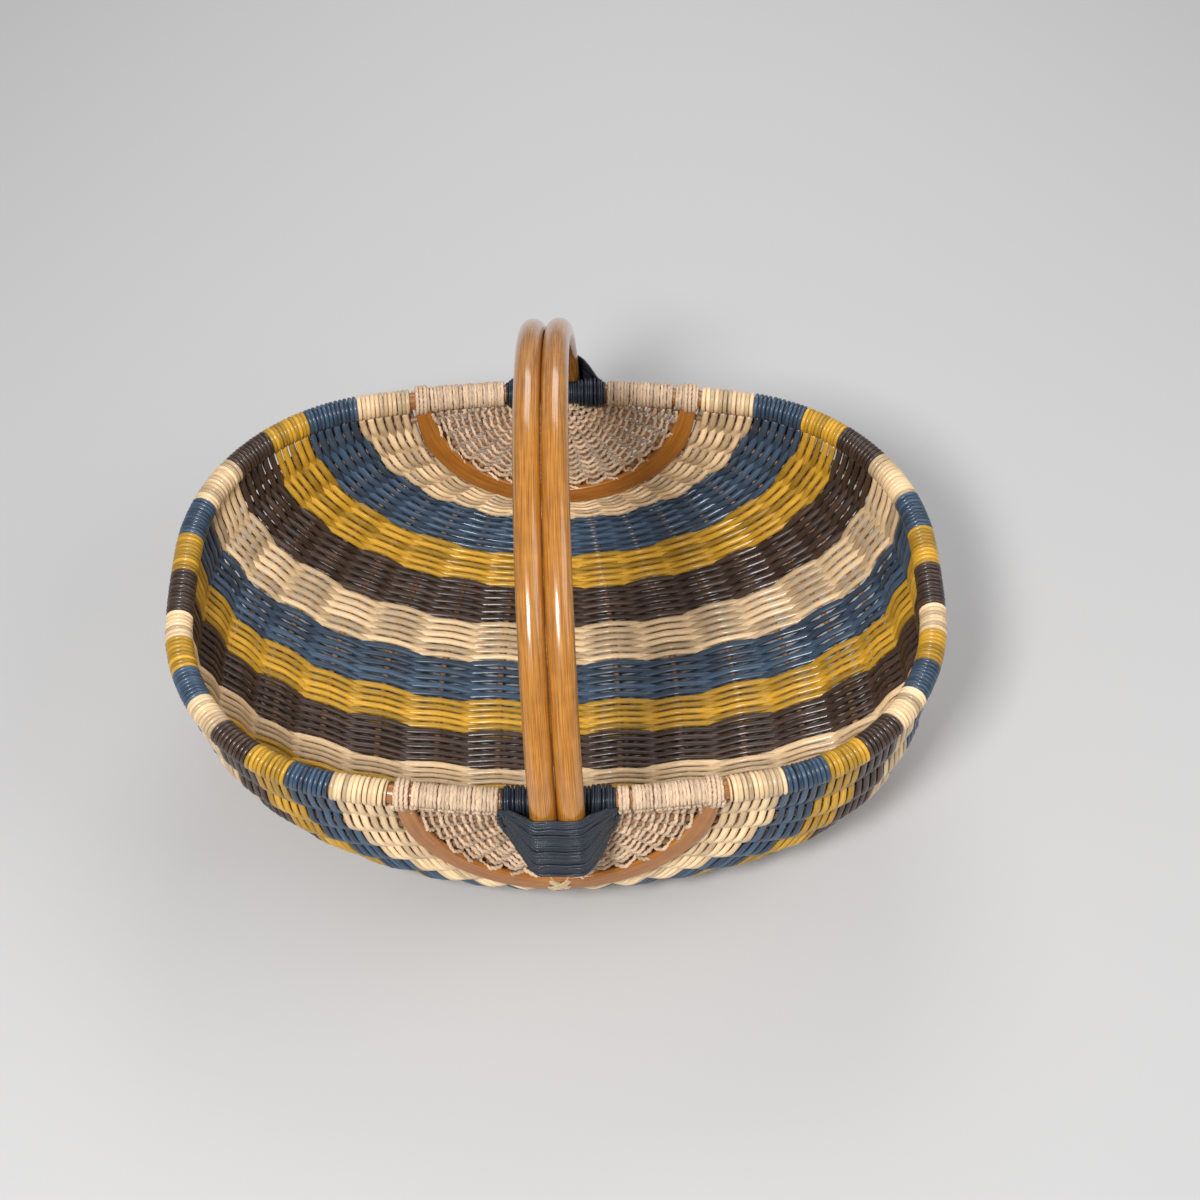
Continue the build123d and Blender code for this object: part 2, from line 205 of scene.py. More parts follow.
bpy.ops.object.select_all(action="DESELECT")
bpy.ops.mesh.primitive_circle_add(
    vertices=rim_sides,
    radius=rim_pole_radius,
    location=(0, rim_half_width, rim_height),
    rotation=(0, pi / 2, 0),
)
rim_pole = edit_new("rim_pole")
rim_rings = [0.0]
for side in (1, -1):
    for centre, radius, start, stop in rim_arcs if side > 0 else rim_arcs[::-1]:
        steps = max(int(radius * (start - stop) / rim_step), 2)
        turn_centre = (side * centre[0], centre[1], rim_height)
        bpy.ops.mesh.spin(steps=steps, angle=start - stop, center=turn_centre, axis=(0, 0, 1))
        ring_gap = radius * (start - stop) / steps
        rim_rings += [rim_rings[-1] + ring_gap * (i + 1) for i in range(steps)]
place_in_mesh(rim_pole)
rim_index = np.arange(len(rim_pole.data.vertices))
ring_turn = rim_index % rim_sides * 2 * pi / rim_sides
ring_along = np.array(rim_rings)[rim_index // rim_sides]
ring_section = rim_pole_radius * np.array([np.cos(ring_turn), np.sin(ring_turn)])
set_lay(rim_pole, np.stack([ring_along, *ring_section], axis=1))
rim_finish = fibre_material(
    "rim_rattan_skin", *rim_colours, grain=0.5 * mm, streak=30, rough=0.35, coat=0.4, bump=0.05 * mm
)
finish_piece(rim_pole, rim_finish, ["rim_hoop"])

# ---- Handle ----
# Two thick rattan poles side by side, bent to one arc from ear to ear and leaning a little to the left.
# They are scraped, flamed and varnished, so dark pores streak the amber wood under a clear gloss.
handle_pole_radius = 7 * mm
handle_rise = 126 * mm
handle_lean = 7 * mm
handle_tail = 27 * mm
handle_gap = 0.05 * mm
wrap_radius = rim_pole_radius + 0.1 * mm
reed = 2.3 * mm
handle_sides = 32
handle_steps = 120
handle_colours = ((0.28, 0.085, 0.008), (0.66, 0.29, 0.045))
handle_reach = wrap_radius + reed + handle_pole_radius + rim_half_width
handle_bend = (handle_reach**2 + handle_rise**2) / (2 * handle_rise)
handle_centre = rim_height + handle_rise - handle_bend
handle_low = asin((rim_height - handle_tail - handle_centre) / handle_bend)
lean_turn = Matrix.Rotation(-asin(handle_lean / handle_rise), 4, "Y")
lean_place = Matrix.Translation((0, 0, rim_height)) @ lean_turn @ Matrix.Translation((0, 0, -rim_height))
handle_finish = fibre_material(
    "handle_varnished_pole",
    *handle_colours,
    grain=0.35 * mm,
    streak=70,
    rough=0.26,
    coat=0.9,
    bump=0.04 * mm,
    spread=0.1,
    blotch=0.5,
)


def handle_pole(name, side):
    """A round section spun along the arc, closed at both ends, then leant over."""
    x = side * (handle_pole_radius + handle_gap)
    foot = (x, handle_bend * cos(handle_low), handle_centre + handle_bend * sin(handle_low))
    bpy.ops.mesh.primitive_circle_add(
        vertices=handle_sides, radius=handle_pole_radius, location=foot, rotation=(handle_low, 0, 0)
    )
    pole = edit_new(f"varnished_{name}")
    bpy.ops.mesh.spin(
        steps=handle_steps, angle=pi - 2 * handle_low, center=(0, 0, handle_centre), axis=(-1, 0, 0)
    )
    bpy.ops.mesh.select_non_manifold()
    bpy.ops.mesh.fill_holes(sides=0)
    bpy.ops.mesh.select_all(action="SELECT")
    bpy.ops.mesh.normals_make_consistent(inside=False)
    place_in_mesh(pole)
    places = np.array([v.co for v in pole.data.vertices])
    turn = np.arctan2(places[:, 2] - handle_centre, places[:, 1])
    depth = np.hypot(places[:, 2] - handle_centre, places[:, 1]) - handle_bend
    set_lay(pole, np.stack([turn * handle_bend + side, places[:, 0] - x + side, depth], axis=1))
    pole.data.transform(lean_place)
    finish_piece(pole, handle_finish, [name])


handle_pole("handle_pole_left", -1)
handle_pole("handle_pole_right", 1)

# ---- Ribs ----
# Seventeen thin round rattan ribs. They start at the hub of the back ear, run under the bowl and end at the
# hub of the front ear. They show as salmon spots between the rows.
rib_radius = 1.9 * mm
rib_clearance = 0.3 * mm
rib_count = 17
rib_nearest_hub = 26 * mm
rim_reach = 9.5 * mm
ear_radius = 85 * mm
back_ear_lean = 10 * mm
front_ear_lean = 3.5 * mm
bottom_exponent = 4.1
section_fullness = 0.7
section_bias = 0.45
section_peak = 1.9
section_fade = 1.5
ear_blend = 2.5
bowl_middle = 40 * mm
layer_outer = rib_radius + rib_clearance + reed
bowl_depth = rim_height - layer_outer + 1 * mm
rib_sides = 10
rib_spacing = 3 * mm
rib_ear_points = 6
normal_step = 0.02
rib_colours = ((0.27, 0.13, 0.06), (0.46, 0.26, 0.14))
# each band from the back ear to the front ear: colour, width along the rim, width below, rows
bands = [
    ("cream", 31, 13, 12),
    ("blue", 31, 23, 12),
    ("yellow", 26, 21, 11),
    ("brown", 27, 26, 11),
    ("cream", 31, 28, 12),
    ("blue", 25, 28, 10),
    ("yellow", 26, 22, 10),
    ("brown", 28, 24, 11),
    ("cream", 18, 13, 7),
    ("yellow", 21, 17, 8),
    ("blue", 21, 17, 9),
    ("cream", 22, 15, 9),
    ("brown", 24, 14, 9),
    ("yellow", 23, 13, 9),
    ("blue", 23, 12, 9),
    ("cream", 30, 13, 12),
]
band_count = len(bands)


def half_width(lean):
    """Half width of the bottom line, so that it passes through the foot of an ear with this lean."""
    foot = (ear_radius**2 - lean**2) ** 0.5
    share = 1 - (foot / bowl_depth) ** bottom_exponent
    return (rim_half_width - lean) / share ** (1 / bottom_exponent)


bottom_turns = np.linspace(0, pi, 721)
bottom_c, bottom_s = np.cos(bottom_turns), np.maximum(np.sin(bottom_turns), 0)
bottom_k = (abs(bottom_c) ** bottom_exponent + bottom_s**bottom_exponent) ** (1 / bottom_exponent)
bottom_y = np.where(bottom_c > 0, half_width(back_ear_lean), half_width(front_ear_lean)) * bottom_c / bottom_k
bottom_depth = bowl_depth * bottom_s / bottom_k
bottom_length = np.append(0, np.cumsum(np.hypot(np.diff(bottom_y), np.diff(bottom_depth))))


def ear_foot(lean, side):
    """Distance along the bottom line to the foot of the back ear (side 1) or the front ear (side -1)."""
    foot = (ear_radius**2 - lean**2) ** 0.5
    found = bottom_length[(bottom_y * side > 0) & (bottom_depth <= foot)]
    return found.max() if side > 0 else found.min()


def edges_of(widths, first, last):
    """Places of the band edges between first and last, with the widths scaled to fill the space."""
    return first + np.append(0, np.cumsum(widths)) * (last - first) / sum(widths)


ear_edge = rim_side_radius * asin(ear_radius / rim_side_radius)
rim_edges = edges_of([b[1] for b in bands], ear_edge, rim_length - ear_edge)
bottom_edges = edges_of([b[2] for b in bands], ear_foot(back_ear_lean, 1), ear_foot(front_ear_lean, -1))
ear_sag = rim_side_radius - (rim_side_radius**2 - ear_radius**2) ** 0.5


def between(places, u):
    """Smooth value through the band edges: u = 0 at the back ear and band_count at the front ear."""
    i = min(int(u), len(places) - 2)
    t = u - i
    before = places[i] - places[max(i - 1, 0)]
    here = places[i + 1] - places[i]
    after = places[min(i + 2, len(places) - 1)] - places[i + 1]
    m0 = (before + here) / 2 if i > 0 else here
    m1 = (here + after) / 2 if i + 2 < len(places) else here
    ease = 3 * t**2 - 2 * t**3
    return places[i] * (1 - ease) + places[i + 1] * ease + m0 * (t**3 - 2 * t**2 + t) + m1 * (t**3 - t**2)


def bowl_points(u, angles):
    """Points of the bowl's middle surface: u counts bands from the back, the angles go from rim to rim."""
    (half, y_rim), _ = rim_place(between(rim_edges, u))
    place = between(bottom_edges, u)
    y_low, depth = np.interp(place, bottom_length, bottom_y), np.interp(place, bottom_length, bottom_depth)
    c, s = np.cos(angles), np.sin(angles)
    fullness = max(sin(pi * (u / band_count) ** section_peak), 0.0) ** section_fade
    power = 2 + fullness * (section_fullness + section_bias * c)
    k = (abs(c) ** power + abs(s) ** power) ** (1 / power)
    c, s = c / k, s / k
    # next to an ear the section bows out with the ear's wall
    bulge = ear_sag * max(1 - min(u, band_count - u) / ear_blend, 0.0) ** 2
    bulge = bulge if u < band_count / 2 else -bulge
    y = y_rim - (y_rim + bulge - y_low) * s + bulge * s * s
    return np.stack([half * c, y, rim_height - depth * s], axis=1)


def bowl_normals(u, angles):
    """Outward directions of the bowl's middle surface."""
    after, before = min(u + normal_step, band_count), max(u - normal_step, 0.0)
    across = bowl_points(after, angles) - bowl_points(before, angles)
    along = bowl_points(u, angles + normal_step) - bowl_points(u, angles - normal_step)
    normals = np.cross(across, along)
    normals /= np.linalg.norm(normals, axis=1, keepdims=True)
    outward = bowl_points(u, angles) - np.array([0, 0, rim_height - bowl_middle])
    return normals * np.sign((normals * outward).sum(axis=1, keepdims=True))


def ear_points(radius, angles, side, off=0.0):
    """Points of an ear's wall, off outwards from its middle: side 1 is the back ear and -1 the front ear."""
    lean = back_ear_lean if side > 0 else front_ear_lean
    tilt = asin(lean / ear_radius)
    x, down = radius * np.cos(angles), radius * np.sin(angles)
    sag = (rim_side_radius**2 - x**2) ** 0.5 - rim_side_radius + off
    y = rim_half_width + sag * cos(tilt) - down * sin(tilt)
    return np.stack([x, side * y, rim_height - sag * sin(tilt) - down * cos(tilt)], axis=1)


def smooth_path(points, spacing):
    """The same line through the points with points at an even spacing."""
    points = np.asarray(points, float)
    run = np.append(0, np.cumsum(np.linalg.norm(np.diff(points, axis=0), axis=1)))
    slope = np.gradient(points, run, axis=0, edge_order=1)
    here = np.linspace(0, run[-1], max(int(run[-1] / spacing), 2) + 1)
    i = np.clip(np.searchsorted(run, here, side="right") - 1, 0, len(run) - 2)
    gap = run[i + 1] - run[i]
    t = ((here - run[i]) / gap)[:, None]
    gap = gap[:, None]
    return (
        points[i] * (2 * t**3 - 3 * t**2 + 1)
        + slope[i] * gap * (t**3 - 2 * t**2 + t)
        + points[i + 1] * (3 * t**2 - 2 * t**3)
        + slope[i + 1] * gap * (t**3 - t**2)
    )


class Strands:
    """Lengths of reed, cord or twine that are laid down one by one and become one mesh."""

    ply_depth = 0.22  # how deep the groove between two plies is, as a share of the radius

    def __init__(self, sides, ply=0.0):
        self.sides = sides
        self.ply = ply  # length of one turn of a two-ply cord, or 0 for a round strand
        self.places, self.lays, self.shades, self.faces, self.count = [], [], [], [], 0

    def add(self, points, radius, shade=0.5, start=0.0, facing=None, wide=None):
        """Lays one length. facing turns its section to a surface, across which it is as wide as wide says."""
        points = np.asarray(points, float)
        count = len(points)
        radius = np.broadcast_to(np.asarray(radius, float), (count,))[:, None]
        wide = radius if wide is None else np.asarray(wide, float)[:, None]
        tangent = np.gradient(points, axis=0)
        tangent /= np.linalg.norm(tangent, axis=1, keepdims=True)
        side = np.empty_like(points)
        first = np.cross(tangent[0], (0.3, 0.2, 0.9))
        for i in range(count):
            first = first if facing is None else np.cross(facing[i], tangent[i])
            first = first - tangent[i] * first.dot(tangent[i])
            first = first / np.linalg.norm(first)
            side[i] = first
        other = np.cross(tangent, side)
        run = np.append(0, np.cumsum(np.linalg.norm(np.diff(points, axis=0), axis=1))) + start
        turn = np.arange(self.sides) * 2 * pi / self.sides
        reach = np.ones((count, self.sides))
        if self.ply:
            twist = turn[None, :] - (2 * pi * run / self.ply)[:, None]
            reach = 1 - self.ply_depth + self.ply_depth * np.cos(2 * twist)
        across, up = reach * wide * np.cos(turn), reach * radius * np.sin(turn)
        ring = points[:, None] + side[:, None] * across[..., None] + other[:, None] * up[..., None]
        self.places.append(ring.reshape(-1, 3))
        along = np.repeat(run[:, None], self.sides, axis=1)
        self.lays.append(np.stack([along, across, up], axis=-1).reshape(-1, 3))
        self.shades.append(np.repeat(np.broadcast_to(np.asarray(shade, float), (count,)), self.sides))
        corner = np.arange(count * self.sides).reshape(count, self.sides) + self.count
        after = np.roll(corner, -1, axis=1)
        quads = np.stack([corner[:-1], after[:-1], after[1:], corner[1:]], axis=-1).reshape(-1, 4)
        self.faces += quads.tolist()
        self.faces += [corner[0, ::-1].tolist(), corner[-1].tolist()]
        self.count += count * self.sides

    def piece(self, name):
        """The lengths laid down so far, as one new object."""
        mesh = bpy.data.meshes.new(name)
        mesh.from_pydata(np.concatenate(self.places), [], self.faces)
        made = bpy.data.objects.new(name, mesh)
        bpy.context.scene.collection.objects.link(made)
        set_lay(made, np.concatenate(self.lays), np.concatenate(self.shades))
        return made


rib_angles = [pi * (i + 1) / (rib_count + 1) for i in range(rib_count)]
rib_finish = fibre_material(
    "rib_rattan_skin", *rib_colours, grain=0.3 * mm, streak=25, rough=0.45, coat=0.15, bump=0.05 * mm
)
for number, angle in enumerate(rib_angles, 1):
    rib_start = max(rib_nearest_hub, rim_reach / sin(angle))
    reaches = np.linspace(rib_start, ear_radius, rib_ear_points)
    line = [ear_points(r, np.array([angle]), 1)[0] for r in reaches]
    line += [bowl_points(u, np.array([angle]))[0] for u in range(1, band_count)]
    line += [ear_points(r, np.array([angle]), -1)[0] for r in reaches[::-1]]
    rib = Strands(rib_sides)
    rib_shade = 0.5 + 0.3 * sin(5 * number)
    rib.add(smooth_path(line, rib_spacing), rib_radius, shade=rib_shade, start=number)
    finish_piece(rib.piece(f"rattan_rib_{number:02d}"), rib_finish, [f"rib_{number:02d}"])

# ---- Woven bands ----
# Sixteen bands of round reed in four colours, dyed and varnished. Each is one long weaver that runs from rim
# to rim over and under the ribs, winds round the rim pole and comes back as the next row.
reed_radius = reed / 2
reed_sides = 8
rib_pitch = pi / (rib_count + 1)
points_per_rib = 7
row_cover = 0.80  # half a row's width, as a share of the distance to the next row
reed_widest = 2.1 * mm
row_roundness = 0.93  # 1 makes a row cross over between two ribs in a straight line
row_ripple = 0.15 * mm
loop_from, loop_to, loop_step = -58, 238, 22  # degrees round the rim pole
loop_shift = 10  # moves the fibres of each row along, so that no two rows look alike
row_start = wrap_radius + reed_radius  # how far below the rim's centre line the rows start
reed_colours = {
    "cream": ((0.64, 0.43, 0.22), (0.95, 0.72, 0.45)),
    "blue": ((0.020, 0.040, 0.070), (0.070, 0.118, 0.185)),
    "yellow": ((0.42, 0.22, 0.012), (0.74, 0.42, 0.04)),
    "brown": ((0.022, 0.012, 0.008), (0.095, 0.055, 0.038)),
}
reed_finishes = {
    colour: fibre_material(
        f"{colour}_varnished_reed", *tones, grain=0.22 * mm, streak=40, rough=0.36, coat=0.35, bump=0.05 * mm
    )
    for colour, tones in reed_colours.items()
}
draw = np.random.default_rng(7)


def row_height(angles, parity, height):
    """How far a row stands off the middle of the ribs: outside one rib and inside the next."""
    inner = np.clip(angles, rib_pitch, pi - rib_pitch)
    wave = np.cos(pi * inner / rib_pitch)
    return parity * height * np.arcsin(row_roundness * wave) / asin(row_roundness)


def rim_loop(first, last, end, radius):
    """A loop over the rim pole from one place along it to another: end 1 is the right half, -1 the left."""
    turns = np.radians(np.linspace(loop_from, loop_to, int((loop_to - loop_from) / loop_step) + 1))
    places = []
    for turn, distance in zip(turns, np.linspace(first, last, len(turns))):
        (x, y), (nx, ny) = rim_place(distance)
        out = np.array([end * nx * cos(turn), ny * cos(turn), sin(turn)])
        places.append(np.array([end * x, y, rim_height]) + out * radius)
    return places


def first_angle(u):
    """Angle at which a row leaves the winding round the rim."""
    place = between(bottom_edges, u)
    return asin(min(row_start / np.interp(place, bottom_length, bottom_depth), 1))


row_before = 0
for number, (colour, _, _, rows) in enumerate(bands, 1):
    weave = Strands(reed_sides)
    for row in range(rows):
        u = number - 1 + (row + 0.5) / rows
        parity = 1 if (row_before + row) % 2 else -1
        low = first_angle(u)
        angles = np.linspace(low, pi - low, (rib_count + 1) * points_per_rib + 1)
        middle = bowl_points(u, angles)
        half_row = 0.5 / rows
        pitch = np.linalg.norm(bowl_points(u + half_row, angles) - bowl_points(u - half_row, angles), axis=1)
        wide = np.clip(row_cover * pitch, 0.7 * reed_radius, reed_widest) * draw.uniform(0.93, 1.07)
        thick = np.minimum(wide, reed_radius)
        normals = bowl_normals(u, angles)
        lift = row_height(angles, parity, rib_radius + thick * 0.9)
        lift = lift + row_ripple * np.sin(angles * draw.uniform(3, 9) + draw.uniform(0, 6))
        path = middle + normals * lift[:, None]
        path[:, 2] = np.maximum(path[:, 2], thick)
        start = loop_shift * (row_before + row)
        weave.add(path, thick, draw.uniform(0, 1), start, normals, wide)
        here = between(rim_edges, u)
        step = between(rim_edges, min(u + 1 / rows, band_count)) - here
        for end in (1, -1):
            slant = step * draw.uniform(0.1, 0.4)
            middle_place = here + step * draw.uniform(-0.06, 0.06)
            off = wrap_radius + reed_radius * draw.uniform(0.94, 1.06)
            loop = rim_loop(middle_place - slant, middle_place + slant, end, off)
            thick = min(reed_radius * 1.08, step * 0.52)
            weave.add(loop, thick, shade=draw.uniform(0, 1), start=start + loop_shift / 2)
    row_before += rows
    name = f"weave_{number:02d}_{colour}"
    finish_piece(weave.piece(f"{name}_rows"), reed_finishes[colour], [name])

# ---- Ear strips ----
# A flat strip of split rattan bent to a half ring lies on each face of the ribs and edges the ear. Its ends
# tuck under the rim pole. The skin side is left on, so it is smooth, with a few long scratches.
strip_width = 11.5 * mm
strip_thickness = 3.5 * mm
strip_inset = 1.8 * mm
strip_middle = ear_radius - strip_inset - strip_width / 2
strip_corner = 1.4 * mm
strip_end_share = 0.72  # width at the ends, which narrow over strip_end_turn
strip_end_turn = 0.35
strip_steps = 72
strip_colours = ((0.31, 0.095, 0.010), (0.52, 0.20, 0.028))
layer_inner = rib_radius + rib_clearance
strip_finish = fibre_material(
    "bent_strip_skin",
    *strip_colours,
    grain=0.5 * mm,
    streak=60,
    rough=0.33,
    coat=0.45,
    bump=0.05 * mm,
    spread=0.1,
    blotch=0.5,
)


def ear_strip(name, side, face):
    """A half ring spun from a strip's section: side 1 is the back ear, face 1 the outer face of the wall."""
    bpy.ops.mesh.primitive_plane_add(size=1, location=(strip_middle, 0, 0), rotation=(pi / 2, 0, 0))
    strip = edit_new(f"split_{name}")
    bpy.ops.transform.resize(value=(strip_width, 1, strip_thickness), center_override=(strip_middle, 0, 0))
    bpy.ops.mesh.bevel(offset=strip_corner, segments=4, affect="VERTICES")
    bpy.ops.mesh.delete(type="ONLY_FACE")
    bpy.ops.mesh.select_all(action="SELECT")
    bpy.ops.mesh.spin(steps=strip_steps, angle=pi, center=(0, 0, 0), axis=(0, 0, 1))
    bpy.ops.mesh.select_all(action="SELECT")
    bpy.ops.mesh.select_non_manifold()
    bpy.ops.mesh.fill_holes(sides=0)
    place_in_mesh(strip)
    flat = np.array([v.co for v in strip.data.vertices])
    turn = np.abs(np.arctan2(flat[:, 1], flat[:, 0]))
    reach = np.hypot(flat[:, 0], flat[:, 1])
    off = flat[:, 2] + face * (layer_inner + strip_thickness / 2)
    # the ends narrow a little where they tuck in under the rim pole
    tuck = np.clip(np.minimum(turn, pi - turn) / strip_end_turn, 0, 1)
    reach = strip_middle + (reach - strip_middle) * (strip_end_share + (1 - strip_end_share) * tuck)
    places = np.concatenate([ear_points(r, np.array([a]), side, o) for r, a, o in zip(reach, turn, off)])
    strip.data.vertices.foreach_set("co", places.ravel())
    strip.data.update()
    set_lay(strip, np.stack([turn * strip_middle + side + 2 * face, reach, off], axis=1))
    bpy.ops.object.select_all(action="DESELECT")
    bpy.context.view_layer.objects.active = strip
    strip.select_set(True)
    bpy.ops.object.mode_set(mode="EDIT")
    bpy.ops.mesh.select_all(action="SELECT")
    bpy.ops.mesh.normals_make_consistent(inside=False)
    bpy.ops.object.mode_set(mode="OBJECT")
    strip.select_set(False)
    finish_piece(strip, strip_finish, [name])


for side, place in ((1, "back"), (-1, "front")):
    ear_strip(f"{place}_ear_strip_outer", side, 1)
    ear_strip(f"{place}_ear_strip_inner", side, -1)

# ---- Ear weave ----
# Seagrass twisted to a thin two-ply cord. It runs in half rings round the hub, over and under the ribs, winds
# round the rim pole at both ends of each row, and fills the ear out to the strips. Loose fibres stand off it.
cord_radius = 1.32 * mm
cord_ply = 5.6 * mm
cord_sides = 8
cord_spacing = 0.75 * mm
ear_row_pitch = 2.05 * mm
ear_first_row = 12 * mm
ear_last_row = 74.5 * mm
ear_edge_rows = 2  # the last rows ride up on the strip
ear_edge_rise = 1.6 * mm
lashing_half_width = 30 * mm
wrap_last = ear_radius - 2.6 * mm
wrap_pitch = 1.95 * mm
wrap_gap, wrap_gap_chance = 1.4 * mm, 0.05
wrap_shift = 900  # moves the fibres of each turn along, so that no two turns look alike
tie_off_width, tie_off_pitch = 7 * mm, 2.6 * mm
cord_colours = ((0.44, 0.29, 0.17), (0.92, 0.70, 0.50))
fuzz_per_ear = 1000
fuzz_radius = 0.06 * mm
cord_finish = fibre_material(
    "seagrass_cord",
    *cord_colours,
    grain=0.25 * mm,
    streak=12,
    rough=0.62,
    coat=0.0,
    bump=0.12 * mm,
    spread=0.25,
    blotch=0.3,
)


def rim_distance(x):
    """Distance along the rim from the back centre to a place x beside it."""
    return rim_side_radius * asin(x / rim_side_radius)


def wound(rim_from, rim_to, end, back, radius, pitch):
    """A close winding round the rim pole between two places beside the centre of an ear."""
    turns = max(round(abs(rim_to - rim_from) / abs(pitch)), 1)
    count = turns * 40 + 1
    places = []
    for turn, x in zip(np.linspace(0, 2 * pi * turns, count), np.linspace(rim_from, rim_to, count)):
        distance = rim_distance(x) if back else rim_length - rim_distance(x)
        (px, py), (nx, ny) = rim_place(distance)
        out = np.array([end * nx * cos(turn), ny * cos(turn), sin(turn)])
        places.append(np.array([end * px, py, rim_height]) + out * radius)
    return places


def ear_weave(name, side):
    """Rows, windings and loose fibres of one ear: side 1 is the back ear, -1 the front ear."""
    back = side > 0
    weave = Strands(cord_sides, cord_ply)
    rows = int((ear_last_row - ear_first_row) / ear_row_pitch)
    for row in range(rows + 1):
        reach = ear_first_row + row * ear_row_pitch
        low = asin(min((rim_reach - 2 * mm) / reach, 1))
        angles = np.linspace(low, pi - low, max(int(reach * (pi - 2 * low) / cord_spacing), 8))
        parity = 1 if row % 2 else -1
        edge = max(row - rows + ear_edge_rows, 0)
        wave = draw.uniform(0, 6)
        wander = (0.4 + 0.5 * edge) * mm * np.sin(angles * draw.uniform(7, 19) + wave)
        wander = wander + 0.3 * mm * np.sin(angles * draw.uniform(25, 45) + 2 * wave)
        height = row_height(angles, parity, rib_radius + cord_radius * 0.8)
        if edge:
            height = height + np.sign(height) * ear_edge_rise
        places = [ear_points(reach + w, np.array([a]), side, h) for a, w, h in zip(angles, wander, height)]
        swell = cord_radius * (1 + 0.13 * np.sin(angles * draw.uniform(10, 30) + wave))
        weave.add(np.concatenate(places), swell, shade=draw.uniform(0, 1), start=3.0 * row)
    for end in (1, -1):
        x = lashing_half_width + 1 * mm
        while x < wrap_last:
            # each turn leans and stands off a little differently, and now and then a gap is left
            off = wrap_radius + cord_radius * draw.uniform(0.75, 1.1)
            slant = draw.uniform(-0.2, 1.2) * mm
            line = wound(x, x + slant, end, back, off, slant or 1)
            thick = cord_radius * draw.uniform(0.88, 1.06)
            weave.add(line[::2], thick, shade=draw.uniform(0.2, 1), start=x * wrap_shift)
            x += wrap_pitch * draw.uniform(0.8, 1.1) + (wrap_gap if draw.uniform() < wrap_gap_chance else 0)
        # a second winding at the outer end, where the cord was tied off over the strip
        off = wrap_radius + 1.9 * cord_radius
        line = wound(wrap_last - tie_off_width, wrap_last, end, back, off, tie_off_pitch)
        weave.add(line, cord_radius, shade=0.8, start=end)
    made = weave.piece(f"{name}_cords")
    finish_piece(made, cord_finish, [name])
    # loose fibres that stick out of the cord
    fuzz = Strands(3)
    skin = made.data.vertices
    for index in draw.integers(0, len(skin), fuzz_per_ear):
        root, away = np.array(skin[int(index)].co), np.array(skin[int(index)].normal)
        bend = draw.normal(size=3)
        tip = root + away * draw.uniform(0.8, 2.6) * mm + bend * 0.9 * mm
        middle = (root + tip) / 2 + away * 0.3 * mm + draw.normal(size=3) * 0.3 * mm
        thin = fuzz_radius * np.array([1, 1, 0.3])
        fuzz.add([root, middle, tip], thin, shade=0.9, start=float(index))
    hairs = fuzz.piece(f"{name}_fibres")
    finish_piece(hairs, cord_finish, [name])


ear_weave("back_ear_weave", 1)
ear_weave("front_ear_weave", -1)

# ---- Handle lashings ----
# Navy twine. It winds round the rim pole on both sides of the handle, then row after row across the outside
# over the ends of the two poles, down to a point on the ear, and so binds the handle to the rim.
twine_radius = 0.85 * mm
twine_ply = 2.8 * mm
twine_sides = 6
twine_spacing = 0.65 * mm
twine_ripple = 0.3 * mm
lashing_depth = 44 * mm
lashing_rise = 12 * mm
pole_edge = 2 * handle_pole_radius
lashing_pitch = 1.3 * mm
lashing_roundness = 2.2
lashing_foot = 0.02**0.5  # least half width, as a share of the largest
# windings beside the poles: height over the rim pole in twine radii, pitch, and place of the first
twine_layers = ((1, 1.35 * mm, 0.5 * mm), (2.5, 1.9 * mm, 13 * mm), (3.4, 2.6 * mm, 17 * mm))
braid_turns = 70
twine_colours = ((0.003, 0.005, 0.009), (0.034, 0.048, 0.070))
twine_finish = fibre_material(
    "navy_twine",
    *twine_colours,
    grain=0.2 * mm,
    streak=10,
    rough=0.4,
    coat=0.3,
    bump=0.22 * mm,
    spread=0.3,
    blotch=0.3,
)


def ease(start, stop, value):
    """0 before start, 1 after stop and smooth between."""
    t = np.clip((value - start) / (stop - start), 0, 1)
    return t * t * (3 - 2 * t)


def lashing_row(centre_down, side_down, wide, side, lift):
    """One row of twine across the poles, from its drop at the middle and the sides and its half width."""
    lean = back_ear_lean if side > 0 else front_ear_lean
    count = max(int(3 * wide / twine_spacing), 8)
    x = np.linspace(-wide, wide, count)
    slope = ease(pole_edge, lashing_half_width, abs(x))
    ripple = twine_ripple * np.sin(x / mm * draw.uniform(0.2, 0.5))
    down = centre_down + (side_down - centre_down) * slope + ripple
    sag = (rim_side_radius**2 - x**2) ** 0.5 - rim_side_radius
    wall = layer_outer * 0.9 - down * lean / ear_radius
    round_rim = np.maximum((wrap_radius + twine_radius) ** 2 - down**2, 0) ** 0.5
    wall = sag + np.maximum(wall, round_rim)
    from_centre = rim_height - np.minimum(down, handle_tail) - handle_centre
    arc_out = (handle_bend**2 - from_centre**2) ** 0.5 - rim_half_width
    over_poles = arc_out + handle_pole_radius + 1.2 * twine_radius
    past_tail = ease(handle_tail - 1 * mm, lashing_depth + 3 * mm, down)
    shift = -down * handle_lean / handle_rise
    swell = (1 - ease(10 * mm, lashing_half_width, abs(x + shift))) * (1 - past_tail)
    out = wall + (over_poles - wall) * swell + lift
    return np.stack([x, side * (rim_half_width + out), rim_height - down], axis=1)


def lashing_width(down):
    """Half width of the lashing at a depth below the rim: it rounds off to its foot."""
    share = (down / (lashing_depth + 1 * mm)) ** lashing_roundness
    return lashing_half_width * np.maximum(1 - share, 0.0) ** 0.5


